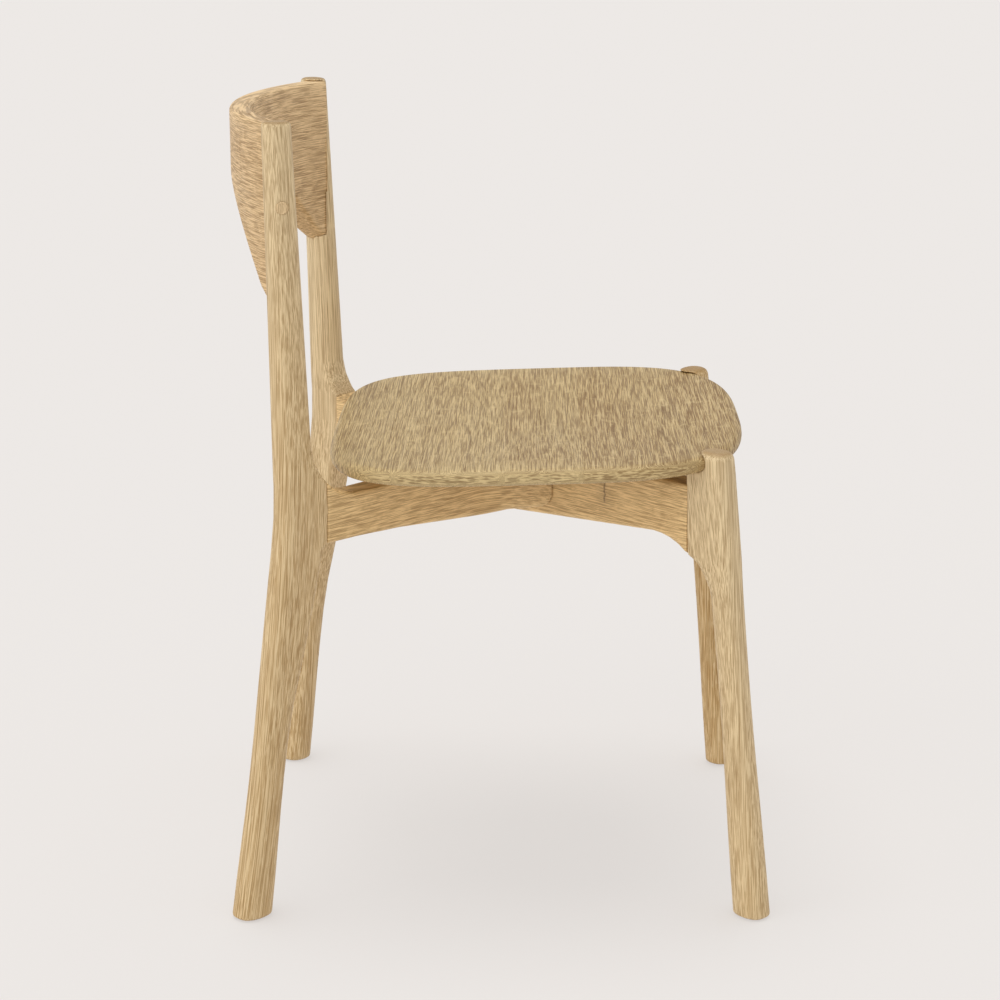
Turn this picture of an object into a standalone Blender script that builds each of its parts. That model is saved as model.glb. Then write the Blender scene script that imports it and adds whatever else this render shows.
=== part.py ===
"""A solid oak dining chair for Blender 4.5, in metres, +Z up, with the sitter facing -Y.

Two rear legs run up as posts and hold a bent backrest. Two front legs stop just above the seat, whose front
corners slide into slots in them. Two diagonal beams, half-lapped where they cross under the seat, join each
rear leg to the front leg opposite. Dowels hold the joints and screws hold the seat down on the beams.
The origin is on the floor, under the middle of the chair's box. The sitter's left is +X.
"""

import math

import bpy
from mathutils import Vector

# Overall sizes
HEIGHT = 0.780
DEPTH = 0.5372
SEAT_HEIGHT = 0.459
SEAT_WIDTH = 0.468
SEAT_DEPTH = 0.4115

# Clearances
GAP = 0.0003
SLOT_GAP = 0.0006

# Front legs: centre line from foot to head, and half sizes along and across the diagonal
FRONT_FOOT_INSET = 0.0198
FRONT_SPLAY = 0.0237
FRONT_RAKE = 0.0435
FRONT_HEAD_RISE = 0.0032
FRONT_FOOT_HALF = 0.0182
FRONT_WAIST_HALF = 0.0152
FRONT_WAIST_Z = 0.230
FRONT_HEAD_HALF = 0.0166
FRONT_ARCH_LENGTH = 0.060
FRONT_ARCH_DEPTH = 0.043
FRONT_ARCH_FALL = 0.062
FRONT_HEAD_ROUND = 0.0065
FRONT_EDGE_SETBACK = 0.0267

# Rear legs: they kick back below the knee and lean back above it
POST_TOP_INSET = 0.0306
REAR_SPLAY = 0.0184
KNEE_DROP = 0.049
REAR_KICK = 0.0500
POST_LEAN = 0.0108
KNEE_SOFTNESS = 0.020
REAR_FOOT_HALF = 0.0195
REAR_WAIST_HALF = 0.0170
REAR_WAIST_Z = 0.150
REAR_KNEE_HALF = 0.0194
POST_TOP_HALF = 0.0138
POST_TOP_ROUND = 0.0040
REAR_FILLET_RADIUS = 0.050
REAR_TAPER_LENGTH = 0.170

# Leg sections
FLATNESS = 0.85
LEG_EXPONENT = 2.5
JOINT_EXPONENT = 9.0
LEG_SIDES = 20
JOINT_REACH = 0.0315
JOINT_SPARE = 0.0080
FOOT_ROUND = 0.0020

# Beams
BEAM_HALF = 0.0150
BEAM_EDGE = 0.0040
BEAM_REAR_DROP = 0.0835
BEAM_FRONT_DROP = 0.0822
BEAM_MIDDLE_DROP = 0.0985
BELLY_HALF_LENGTH = 0.200
GUSSET = 0.062
GUSSET_ROUND = 0.016
GUSSET_RISE = 0.012

# Seat
SEAT_SLOPE = 0.0318
SEAT_WIDEST = 0.1790
SEAT_DISH = 0.0100
SEAT_THICKNESS = 0.0315
RIM_THICKNESS = 0.0158
SEAT_LAND = 0.62
REAR_SQUARENESS = 4.3
FRONT_SQUARENESS = 3.1
STAVE_ENDS = (0.165, 0.419, 0.605, 0.868)
OUTLINE_POINTS = 64
OUTLINE_FINENESS = 20

# Backrest
BACK_THICKNESS = 0.0210
BACK_BOW = 0.0502
BACK_TOP_DROP = 0.0028
BACK_END_HEIGHT = 0.1702
BACK_ARCH_RISE = 0.108
BACK_ARCH_POWER = 2.2
BACK_EDGE = 0.0045
BACK_HOUSING = 0.0070
BACK_STATIONS = 22

# Hidden fastenings
DOWEL_RADIUS = 0.0040
DOWEL_LENGTH = 0.036
DOWEL_SPACING = 0.024
BACK_DOWEL_LENGTH = 0.030
BACK_DOWEL_IN_POST = 0.012
BACK_DOWEL_INSET = 0.030
PLUG_RADIUS = 0.0050
PLUG_DEPTH = 0.0070
BACK_SCREW_LENGTH = 0.045
BACK_SCREW_LEAN = 0.5
SCREW_RADIUS = 0.0022
SCREW_HEAD_RADIUS = 0.0042
SCREW_HEAD_HEIGHT = 0.0030
SEAT_SCREW_BITE = 0.013
SEAT_SCREW_STATION = 0.105
SEAT_SCREW_GRIP = 0.022
WASHER_RADIUS = 0.0060
WASHER_THICKNESS = 0.0012
GLIDE_RADIUS = 0.0110
GLIDE_THICKNESS = 0.0015
GLIDE_STEM_RADIUS = 0.0020
GLIDE_STEM_LENGTH = 0.014
CHAMFER = 0.0005
DOWEL_CHAMFER = 0.0010
ROUND_SIDES = 12
OVERSHOOT = 0.010

# Worked out from the sizes above: insets are from the seat's edge, and drops from its height
FRONT_FOOT_X = SEAT_WIDTH / 2 - FRONT_FOOT_INSET
REAR_TOP_X = SEAT_WIDTH / 2 - POST_TOP_INSET
KNEE_Z = SEAT_HEIGHT - KNEE_DROP
FRONT_FOOT_Y = -DEPTH / 2 + FRONT_FOOT_HALF
FRONT_EDGE_Y = -DEPTH / 2 + FRONT_EDGE_SETBACK
REAR_EDGE_Y = FRONT_EDGE_Y + SEAT_DEPTH
SEAT_WIDEST_Y = FRONT_EDGE_Y + SEAT_WIDEST
POST_TOP_Y = DEPTH / 2 - BACK_BOW - POST_TOP_HALF
KNEE_Y = POST_TOP_Y - POST_LEAN
LEG_BOTTOM = GLIDE_THICKNESS
BACK_TOP = HEIGHT - BACK_TOP_DROP
BACK_BOTTOM = BACK_TOP - BACK_END_HEIGHT
BACK_SPAN_HALF = REAR_TOP_X - POST_TOP_HALF * FLATNESS
BACK_HALF = BACK_SPAN_HALF + BACK_HOUSING
BACK_RADIUS = (BACK_SPAN_HALF**2 + BACK_BOW**2) / (2 * BACK_BOW)
SCREW_Z = (BACK_TOP + BACK_BOTTOM) / 2 + 0.010


def clear_scene():
    for obj in list(bpy.data.objects):
        bpy.data.objects.remove(obj)


def material(name, colour, roughness, metallic=0.0):
    made = bpy.data.materials.new(name)
    made.use_nodes = True
    shader = made.node_tree.nodes["Principled BSDF"]
    shader.inputs["Base Color"].default_value = (*colour, 1.0)
    shader.inputs["Roughness"].default_value = roughness
    shader.inputs["Metallic"].default_value = metallic
    made.diffuse_color = (*colour, 1.0)
    return made


def add_object(name, points, faces, finish):
    mesh = bpy.data.meshes.new(name)
    mesh.from_pydata([tuple(point) for point in points], [], faces)
    mesh.validate()
    mesh.shade_smooth()
    mesh.set_sharp_from_angle(angle=math.radians(35))
    if finish:
        mesh.materials.append(finish)
    obj = bpy.data.objects.new(name, mesh)
    bpy.context.scene.collection.objects.link(obj)
    return obj


def add_cutter(name, points, faces):
    cutter = add_object(name, points, faces, None)
    cutter.hide_render = True
    cutter.display_type = "WIRE"
    return cutter


def combine(obj, other, operation):
    modifier = obj.modifiers.new(other.name, "BOOLEAN")
    modifier.operation = operation
    modifier.solver = "EXACT"
    modifier.object = other


def loft(rings):
    """Points and faces of a closed solid through rings that turn anticlockwise about their advance."""
    count = len(rings[0])
    points = [point for ring in rings for point in ring]
    faces = []
    for level in range(len(rings) - 1):
        low = level * count
        for k in range(count):
            after = (k + 1) % count
            faces.append((low + k, low + after, low + count + after, low + count + k))
    faces.append(tuple(reversed(range(count))))
    last = (len(rings) - 1) * count
    faces.append(tuple(range(last, last + count)))
    return points, faces


def mirrored(points, faces):
    """The same solid on the other side of the chair's middle plane."""
    return [Vector((-x, y, z)) for x, y, z in points], [tuple(reversed(face)) for face in faces]


def bar(start, direction, steps):
    """A turned bar along direction, from (distance, radius) steps; the first and last are its flat ends."""
    along = Vector(direction).normalized()
    side = along.orthogonal().normalized()
    other = along.cross(side)
    rings = []
    for distance, radius in steps:
        centre = Vector(start) + along * distance
        angles = [2 * math.pi * k / ROUND_SIDES for k in range(ROUND_SIDES)]
        rings.append([centre + (side * math.cos(a) + other * math.sin(a)) * radius for a in angles])
    return loft(rings)


def smooth(low, high, value):
    share = min(max((value - low) / (high - low), 0.0), 1.0)
    return share * share * (3 - 2 * share)


def mix(first, second, share):
    return first + (second - first) * share


def seat_plane(y):
    """Height of the seat's edge, which slopes down to the rear."""
    return SEAT_HEIGHT + (SEAT_WIDEST_Y - y) * SEAT_SLOPE


def front_centre(z):
    share = z / (seat_plane(FRONT_FOOT_Y + FRONT_RAKE) + FRONT_HEAD_RISE)
    return Vector((-FRONT_FOOT_X + FRONT_SPLAY * share, FRONT_FOOT_Y + FRONT_RAKE * share, z))


def rear_centre(z):
    offset = z - KNEE_Z
    below = -REAR_KICK / KNEE_Z
    above = POST_LEAN / (HEIGHT - KNEE_Z)
    bend = math.sqrt(offset * offset + KNEE_SOFTNESS * KNEE_SOFTNESS)
    y = KNEE_Y + (above + below) / 2 * offset + (above - below) / 2 * bend
    return Vector((-(REAR_TOP_X + REAR_SPLAY * (1 - z / HEIGHT)), y, z))


BEAM_LEVEL = SEAT_HEIGHT - (BEAM_REAR_DROP + SEAT_THICKNESS) / 2
REAR_JOINT = rear_centre(BEAM_LEVEL)
FRONT_JOINT = front_centre(BEAM_LEVEL)
OPPOSITE_FRONT = Vector((-FRONT_JOINT.x, FRONT_JOINT.y, BEAM_LEVEL))
BEAM_AXIS = (OPPOSITE_FRONT - REAR_JOINT).normalized()
BEAM_SPAN = (OPPOSITE_FRONT - REAR_JOINT).length
CROSSING = -REAR_JOINT.x / BEAM_AXIS.x
FRONT_INWARD = Vector((BEAM_AXIS.x, -BEAM_AXIS.y, 0))


def beam_point(station):
    return REAR_JOINT + BEAM_AXIS * station


def sweep(distance, length, depth):
    """Depth of an elliptical cove, this long and this deep where it ends, at a distance from its end."""
    left = min(max(1 - distance / length, 0.0), 1.0)
    return depth * (1 - math.sqrt(1 - left * left))


def sweep_start(reach, length, depth):
    """Distance from a cove's end at which it is reach deep."""
    left = 1 - reach / depth
    return length * (1 - math.sqrt(1 - left * left))


def round_off(distance, radius):
    """How far a round edge of this radius is cut back at a distance from its end."""
    return sweep(distance, radius, radius)


def beam_top(station):
    """Top edge of a beam: it follows the seat, and sweeps up into the rear leg."""
    top = seat_plane(beam_point(station).y) - SEAT_THICKNESS - GAP
    return top + round_off(station - REAR_KNEE_HALF, REAR_FILLET_RADIUS)


def beam_bottom(station):
    """Lower edge of a beam: lowest at the crossing, with an arch down into the front leg."""
    share = min(abs(station - CROSSING) / BELLY_HALF_LENGTH, 1.0)
    end = BEAM_REAR_DROP if station < CROSSING else BEAM_FRONT_DROP
    arch = sweep(BEAM_SPAN - station - FRONT_HEAD_HALF, FRONT_ARCH_LENGTH, FRONT_ARCH_DEPTH)
    return SEAT_HEIGHT - mix(BEAM_MIDDLE_DROP, end, share) - arch


def leg_ring(centre, joint, inward, out_half, reach, across, fullness):
    """One section of a leg: rounded outside, reaching further inward, flat where the beam meets it."""
    limit = JOINT_REACH + (joint - centre).dot(inward)
    sideways = Vector((-inward.y, inward.x, 0))
    ring = []
    for k in range(LEG_SIDES):
        angle = 2 * math.pi * (k + 0.5) / LEG_SIDES
        cosine, sine = math.cos(angle), math.sin(angle)
        inner = cosine > 0
        power = 2 / (mix(LEG_EXPONENT, JOINT_EXPONENT, fullness) if inner else LEG_EXPONENT)
        along = math.copysign(abs(cosine) ** power, cosine) * (reach if inner else out_half)
        beside = math.copysign(abs(sine) ** power, sine) * across
        ring.append(centre + inward * min(along, limit) + sideways * beside)
    return ring


def rear_half(z):
    if z < REAR_WAIST_Z:
        return mix(REAR_FOOT_HALF, REAR_WAIST_HALF, smooth(0, REAR_WAIST_Z, z))
    if z < KNEE_Z:
        return mix(REAR_WAIST_HALF, REAR_KNEE_HALF, smooth(REAR_WAIST_Z, KNEE_Z, z))
    return mix(REAR_KNEE_HALF, POST_TOP_HALF, (z - KNEE_Z) / (HEIGHT - KNEE_Z))


def front_half(z):
    head = seat_plane(FRONT_EDGE_Y)
    if z < FRONT_WAIST_Z:
        return mix(FRONT_FOOT_HALF, FRONT_WAIST_HALF, smooth(0, FRONT_WAIST_Z, z))
    return mix(FRONT_WAIST_HALF, FRONT_HEAD_HALF, smooth(FRONT_WAIST_Z, head, z))


def rear_extra(z):
    """How far the rear leg's knee stands out inward past its own section."""
    full = JOINT_REACH - REAR_KNEE_HALF
    top, bottom = beam_top(JOINT_REACH), beam_bottom(JOINT_REACH)
    if z > top:
        start = sweep_start(full, REAR_FILLET_RADIUS, REAR_FILLET_RADIUS)
        return round_off(z - top + start, REAR_FILLET_RADIUS)
    if z < bottom:
        return full * max(0.0, 1 - (bottom - z) / REAR_TAPER_LENGTH)
    return full + JOINT_SPARE


def front_extra(z):
    """How far the front leg's knee stands out inward past its own section."""
    full = JOINT_REACH - FRONT_HEAD_HALF
    bottom = beam_bottom(BEAM_SPAN - JOINT_REACH)
    head = seat_plane(FRONT_JOINT.y) - RIM_THICKNESS
    if z < bottom:
        start = sweep_start(full, FRONT_ARCH_FALL, FRONT_ARCH_LENGTH)
        return sweep(bottom - z + start, FRONT_ARCH_FALL, FRONT_ARCH_LENGTH)
    return (full + JOINT_SPARE) * (1 - smooth(head, head + RIM_THICKNESS, z))


def leg_solid(centre_of, half_of, extra_of, joint, inward, levels, top_round):
    top = levels[-1]
    rings = []
    for z in levels:
        half = half_of(z)
        shrink = round_off(z - LEG_BOTTOM, FOOT_ROUND) + round_off(top - z, top_round)
        extra = extra_of(z)
        fullness = min(1.0, extra / (JOINT_REACH - REAR_KNEE_HALF))
        across = mix(half * FLATNESS, BEAM_HALF, fullness) - shrink
        out, reach = half - shrink, half + extra - shrink
        rings.append(leg_ring(centre_of(z), joint, inward, out, reach, across, fullness))
    return loft(rings)


def spread(start, end, count):
    """Evenly spaced values from start up to, but not including, end."""
    return [mix(start, end, k / count) for k in range(count)]


def foot_levels():
    return [LEG_BOTTOM, LEG_BOTTOM + FOOT_ROUND / 3, LEG_BOTTOM + FOOT_ROUND]


def top_levels(top, rounding):
    return [top - rounding * (1 - math.sin(math.radians(angle))) for angle in (0, 30, 55, 75, 90)]


def rear_leg_solid():
    top, bottom = beam_top(JOINT_REACH), beam_bottom(JOINT_REACH)
    levels = foot_levels()
    levels += spread(REAR_WAIST_Z / 4, bottom - BEAM_HALF, 9)
    levels += [bottom - BEAM_HALF, bottom - BEAM_EDGE, bottom]
    levels += [(bottom + top) / 2, top]
    levels += [top + REAR_FILLET_RADIUS * share for share in (0.08, 0.2, 0.4, 0.7)]
    levels += spread(top + REAR_FILLET_RADIUS, HEIGHT - 2 * POST_TOP_ROUND, 7)
    levels += top_levels(HEIGHT, POST_TOP_ROUND)
    sizes = rear_centre, rear_half, rear_extra
    return leg_solid(*sizes, REAR_JOINT, BEAM_AXIS, levels, POST_TOP_ROUND)


def front_leg_solid():
    top = seat_plane(FRONT_FOOT_Y + FRONT_RAKE) + FRONT_HEAD_RISE
    bottom = beam_bottom(BEAM_SPAN - JOINT_REACH)
    levels = foot_levels()
    levels += spread(FRONT_WAIST_Z / 6, bottom - FRONT_ARCH_FALL, 7)
    levels += spread(bottom - FRONT_ARCH_FALL, bottom, 8)
    levels += spread(bottom, top - FRONT_HEAD_ROUND, 7)
    levels += top_levels(top, FRONT_HEAD_ROUND)
    sizes = front_centre, front_half, front_extra
    return leg_solid(*sizes, FRONT_JOINT, FRONT_INWARD, levels, FRONT_HEAD_ROUND)


def corner(v, z, radius, start):
    """Points round one corner of a section, turning anticlockwise from the start angle, in degrees."""
    angles = [math.radians(start + turn) for turn in (0, 22.5, 45, 67.5, 90)]
    return [(v + radius * math.cos(a), z + radius * math.sin(a)) for a in angles]


def beam_ring(station, right, left, low_right, low_left, rise_right=0.0, rise_left=0.0):
    """One section of a beam, seen looking back along it: right and left are its widths beside the axis."""
    centre = beam_point(station)
    sideways = Vector((-BEAM_AXIS.y, BEAM_AXIS.x, 0))
    top, bottom = beam_top(station), beam_bottom(station)
    section = corner(left - BEAM_EDGE, top - BEAM_EDGE, BEAM_EDGE, 0)
    section += corner(-right + BEAM_EDGE, top - BEAM_EDGE, BEAM_EDGE, 90)
    section += corner(-right + low_right, bottom + rise_right + low_right, low_right, 180)
    section += corner(left - low_left, bottom + rise_left + low_left, low_left, 270)
    lean = -sideways.y * SEAT_SLOPE
    flat = Vector((centre.x, centre.y, 0))
    return [flat + sideways * v + Vector((0, 0, z + lean * v)) for v, z in reversed(section)]


def beam_solid(with_gussets):
    """A beam from its rear joint to its front joint; the gussets widen it beside the other beam."""
    start, end = JOINT_REACH + GAP, BEAM_SPAN - JOINT_REACH - GAP
    near, far = CROSSING - BEAM_HALF - GAP, CROSSING + BEAM_HALF + GAP
    rings = []

    def plain(station):
        rings.append(beam_ring(station, BEAM_HALF, BEAM_HALF, BEAM_EDGE, BEAM_EDGE))

    def wide(distance, station, on_right):
        extra = round_off(distance, GUSSET)
        low = mix(BEAM_EDGE, GUSSET_ROUND, min(1.0, extra / GUSSET_ROUND))
        rise = GUSSET_RISE * extra / GUSSET
        if on_right:
            rings.append(beam_ring(station, BEAM_HALF + extra, BEAM_HALF, low, BEAM_EDGE, rise_right=rise))
        else:
            rings.append(beam_ring(station, BEAM_HALF, BEAM_HALF + extra, BEAM_EDGE, low, rise_left=rise))

    swept = REAR_KNEE_HALF + REAR_FILLET_RADIUS
    arch = BEAM_SPAN - FRONT_HEAD_HALF - FRONT_ARCH_LENGTH
    cove = [GUSSET * share for share in (0.01, 0.04, 0.1, 0.2, 0.35, 0.55, 0.8)]
    face = cove[0] / 2
    for share in (0.0, 0.2, 0.45, 1.0):
        plain(mix(start, swept, share))
    for share in (0.35, 0.7, 1.0):
        plain(mix(swept, near - GUSSET, share))
    if with_gussets:
        for distance in reversed(cove):
            wide(distance, near - distance, True)
    plain(near - face)
    plain(CROSSING)
    plain(far + face)
    if with_gussets:
        for distance in cove:
            wide(distance, far + distance, False)
    for share in (0.0, 0.35, 0.7):
        plain(mix(far + GUSSET, arch, share))
    for share in (0.0, 0.25, 0.5, 0.75, 1.0):
        plain(mix(arch, end, share))
    return loft(rings)


def block(centre, axis, length, width, low, high):
    """A box about centre, length along axis and width across it, from low to high."""
    along = axis * length / 2
    beside = Vector((-axis.y, axis.x, 0)) * width / 2
    corners = (along - beside, along + beside, -along + beside, -along - beside)
    middle = Vector((centre.x, centre.y, 0))
    return loft([[middle + corner + Vector((0, 0, z)) for corner in corners] for z in (low, high)])


def outline_point(angle):
    """A point of the seat's plan outline: one half superellipse to the rear and one to the front."""
    cosine, sine = math.cos(angle), math.sin(angle)
    rear = sine >= 0
    power = 2 / (REAR_SQUARENESS if rear else FRONT_SQUARENESS)
    length = REAR_EDGE_Y - SEAT_WIDEST_Y if rear else SEAT_WIDEST
    x = math.copysign(abs(cosine) ** power, cosine) * SEAT_WIDTH / 2
    return Vector((x, SEAT_WIDEST_Y + math.copysign(abs(sine) ** power, sine) * length, 0))


def outline(grow):
    """The seat's plan outline, anticlockwise and evenly spaced, grown outward."""
    count = OUTLINE_POINTS * OUTLINE_FINENESS
    dense = [outline_point(2 * math.pi * k / count) for k in range(count)]
    lengths = [0.0]
    for k in range(count):
        lengths.append(lengths[-1] + (dense[(k + 1) % count] - dense[k]).length)
    points = []
    index = 0
    for k in range(OUTLINE_POINTS):
        target = lengths[-1] * k / OUTLINE_POINTS
        while lengths[index + 1] < target:
            index += 1
        share = (target - lengths[index]) / (lengths[index + 1] - lengths[index])
        points.append(dense[index].lerp(dense[(index + 1) % count], share))
    grown = []
    for k, point in enumerate(points):
        tangent = (points[(k + 1) % OUTLINE_POINTS] - points[k - 1]).normalized()
        grown.append(point + Vector((tangent.y, -tangent.x, 0)) * grow)
    return grown


def seat_top(y, share):
    """Height of the dished top at a share of the way from the seat's middle to its edge."""
    return seat_plane(y) - SEAT_DISH * (1 - share * share) ** 2


def seat_under(y, share):
    """Height of the underside: a flat land in the middle that rises to the thin rim."""
    rise = (SEAT_THICKNESS - RIM_THICKNESS) * smooth(SEAT_LAND, 1.0, share)
    return seat_plane(y) - SEAT_THICKNESS + rise


def seat_solid(grow):
    """The whole seat board, grown by a clearance for the slots in the front legs."""
    middle = Vector((0, SEAT_WIDEST_Y, 0))
    radius = RIM_THICKNESS / 2
    rings = []

    def add(inset, share, height):
        edge = outline(grow - inset)
        ring = [middle.lerp(point, share) for point in edge]
        for point in ring:
            point.z = height(point.y)
        rings.append(ring)

    for share in (SEAT_LAND / 2, SEAT_LAND, (SEAT_LAND + 1) / 2):
        add(radius, share, lambda y, s=share: seat_under(y, s) - grow)
    for angle in (-90, -60, -30, 0, 30, 60, 90):
        bend = math.radians(angle)
        height = radius * (math.sin(bend) - 1) + grow * math.sin(bend)
        add(radius - radius * math.cos(bend), 1.0, lambda y, h=height: seat_plane(y) + h)
    for share in (0.93, 0.82, 0.66, 0.45, 0.22):
        add(radius, share, lambda y, s=share: seat_top(y, s) + grow)
    return loft(rings)


def back_face(x):
    """The backrest's rear face at x, and its thickness there measured straight back."""
    run = math.sqrt(BACK_RADIUS**2 - x * x)
    return DEPTH / 2 - BACK_RADIUS + run, BACK_THICKNESS * BACK_RADIUS / run


def back_ring(x, thickness_grow, end_grow):
    """A section of the backrest at x: it bows back at the middle and arches up along its lower edge."""
    rear, thick = back_face(x)
    front = rear - thick - thickness_grow
    rear += thickness_grow
    arch = max(0.0, 1 - (abs(x) / BACK_SPAN_HALF) ** BACK_ARCH_POWER)
    bottom = BACK_BOTTOM + BACK_ARCH_RISE * arch - end_grow
    top = BACK_TOP + end_grow
    edge = BACK_EDGE
    section = corner(rear - edge, top - edge, edge, 0)
    section += corner(front + edge, top - edge, edge, 90)
    section += corner(front + edge, bottom + edge, edge, 180)
    section += corner(rear - edge, bottom + edge, edge, 270)
    return [Vector((x, y, z)) for y, z in section]


def back_solid(grow):
    half = BACK_HALF + grow
    rings = [back_ring(mix(-half, half, k / BACK_STATIONS), grow, grow) for k in range(BACK_STATIONS + 1)]
    return loft(rings)


def place_legs(finish):
    legs = {}
    for kind, solid in (("rear", rear_leg_solid()), ("front", front_leg_solid())):
        legs[kind, "right"] = add_object(f"{kind}_leg_right", *solid, finish)
        legs[kind, "left"] = add_object(f"{kind}_leg_left", *mirrored(*solid), finish)
    seat_cutter = add_cutter("seat_slot_cutter", *seat_solid(SLOT_GAP))
    back_cutter = add_cutter("back_housing_cutter", *back_solid(GAP))
    for side in ("right", "left"):
        combine(legs["front", side], seat_cutter, "DIFFERENCE")
        combine(legs["rear", side], back_cutter, "DIFFERENCE")
    return legs


def place_beams(finish):
    """The upper beam runs over the lower one; each is notched to half its depth where they cross."""
    upper = add_object("cross_beam_upper", *beam_solid(True), finish)
    lower = add_object("cross_beam_lower", *mirrored(*beam_solid(False)), finish)
    centre = beam_point(CROSSING)
    bottom, top = beam_bottom(CROSSING), beam_top(CROSSING)
    split = (top + bottom) / 2
    other_axis = Vector((-BEAM_AXIS.x, BEAM_AXIS.y, 0))
    width = 2 * (BEAM_HALF + GAP)
    reach = 4 * BEAM_HALF
    under = block(centre, other_axis, reach, width, bottom - OVERSHOOT, split + GAP / 2)
    over = block(centre, BEAM_AXIS, reach, width, split - GAP / 2, top + OVERSHOOT)
    combine(upper, add_cutter("upper_notch_cutter", *under), "DIFFERENCE")
    combine(lower, add_cutter("lower_notch_cutter", *over), "DIFFERENCE")
    return upper, lower


def place_seat(finish):
    """The seat board cut into staves; returns (front, rear, object) for each."""
    board = add_cutter("seat_board", *seat_solid(0.0))
    shares = (-1.0,) + STAVE_ENDS + (2.0,)
    ends = [mix(REAR_EDGE_Y, FRONT_EDGE_Y, share) for share in shares]
    staves = []
    for k in range(len(ends) - 1):
        rear, front = ends[k] - GAP / 2, ends[k + 1] + GAP / 2
        middle = Vector((0, (rear + front) / 2, 0))
        low = SEAT_HEIGHT - SEAT_THICKNESS - SEAT_DEPTH
        high = SEAT_HEIGHT + SEAT_DEPTH
        cell = block(middle, Vector((1, 0, 0)), 2 * SEAT_WIDTH, rear - front, low, high)
        stave = add_object(f"seat_stave_{k + 1}", *cell, finish)
        combine(stave, board, "INTERSECT")
        staves.append((front, rear, stave))
    return staves


def drill(obj, name, start, direction, steps):
    combine(obj, add_cutter(name, *bar(start, direction, steps)), "DIFFERENCE")


def place_beam_dowels(legs, upper, lower, finish):
    """Two dowels along each beam's axis into each leg."""
    pairs = (
        ("rear", "right", upper, REAR_JOINT, BEAM_AXIS),
        ("rear", "left", lower, REAR_JOINT, BEAM_AXIS),
        ("front", "right", lower, FRONT_JOINT, FRONT_INWARD),
        ("front", "left", upper, FRONT_JOINT, FRONT_INWARD),
    )
    for kind, side, beam, joint, inward in pairs:
        flip = Vector((1, 1, 1)) if side == "right" else Vector((-1, 1, 1))
        for row, offset in enumerate((-DOWEL_SPACING / 2, DOWEL_SPACING / 2)):
            name = f"{kind}_dowel_{side}_{row + 1}"
            middle = joint + inward * (JOINT_REACH + GAP / 2) + Vector((0, 0, offset))
            start = (middle - inward * DOWEL_LENGTH / 2) * flip
            direction = inward * flip
            add_object(name, *dowel(start, direction, DOWEL_LENGTH), finish)
            dowel_hole(f"{name}_hole", start, direction, DOWEL_LENGTH, (legs[kind, side], beam))


def dowel(start, direction, length):
    narrow = DOWEL_RADIUS - DOWEL_CHAMFER
    inner, outer = (DOWEL_CHAMFER, DOWEL_RADIUS), (length - DOWEL_CHAMFER, DOWEL_RADIUS)
    return bar(start, direction, ((0, narrow), inner, outer, (length, narrow)))


def dowel_hole(name, start, direction, length, pieces):
    """The same clearance hole for a dowel in each of the pieces."""
    wide = DOWEL_RADIUS + GAP
    cutter = add_cutter(name, *bar(start, direction, ((-GAP, wide), (length + GAP, wide))))
    for piece in pieces:
        combine(piece, cutter, "DIFFERENCE")


def screw_steps(length):
    """A screw from its head's top down to its point."""
    return (
        (0, SCREW_HEAD_RADIUS - CHAMFER),
        (CHAMFER, SCREW_HEAD_RADIUS),
        (SCREW_HEAD_HEIGHT, SCREW_HEAD_RADIUS),
        (SCREW_HEAD_HEIGHT, SCREW_RADIUS),
        (length - 2 * SCREW_RADIUS, SCREW_RADIUS),
        (length, CHAMFER),
    )


def place_back(legs, wood, plug_wood, dowel_wood, steel):
    """The backrest in its housings, held each side by two dowels that follow its curve, and a screw."""
    back = add_object("backrest", *back_solid(0.0), wood)
    rear, thick = back_face(BACK_SPAN_HALF)
    lean = BACK_SPAN_HALF / math.sqrt(BACK_RADIUS**2 - BACK_SPAN_HALF**2)
    for side, sign in (("right", 1), ("left", -1)):
        post = legs["rear", side]
        entry = Vector((-BACK_SPAN_HALF * sign, rear - thick / 2, 0))
        direction = Vector((sign, lean, 0)).normalized()
        heights = (BACK_BOTTOM + BACK_DOWEL_INSET, BACK_TOP - BACK_DOWEL_INSET)
        for row, z in enumerate(heights):
            name = f"back_dowel_{side}_{row + 1}"
            start = entry + Vector((0, 0, z)) - direction * BACK_DOWEL_IN_POST
            add_object(name, *dowel(start, direction, BACK_DOWEL_LENGTH), dowel_wood)
            dowel_hole(f"{name}_hole", start, direction, BACK_DOWEL_LENGTH, (post, back))
        direction = Vector((sign, lean * BACK_SCREW_LEAN, 0)).normalized()
        outer = entry + Vector((0, 0, SCREW_Z)) - direction * POST_TOP_HALF * 2
        place_back_screw(side, outer, direction, post, back, plug_wood, steel)


def place_back_screw(side, start, direction, post, back, plug_wood, steel):
    """A screw through the post into the backrest's end, under a wooden plug."""
    plug = ((0, PLUG_RADIUS - CHAMFER), (CHAMFER, PLUG_RADIUS), (PLUG_DEPTH, PLUG_RADIUS))
    add_object(f"post_plug_{side}", *bar(start, direction, plug), plug_wood)
    screw_start = start + direction * (PLUG_DEPTH + GAP)
    add_object(f"back_screw_{side}", *bar(screw_start, direction, screw_steps(BACK_SCREW_LENGTH)), steel)
    wide, narrow = PLUG_RADIUS + GAP, SCREW_RADIUS + GAP
    seat = PLUG_DEPTH + 2 * GAP + SCREW_HEAD_HEIGHT
    end = PLUG_DEPTH + 2 * GAP + BACK_SCREW_LENGTH
    post_hole = ((-OVERSHOOT, wide), (seat, wide), (seat, narrow), (end, narrow))
    drill(post, f"post_screw_hole_{side}", start, direction, post_hole)
    drill(back, f"back_screw_hole_{side}", start, direction, ((seat, narrow), (end, narrow)))


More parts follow.
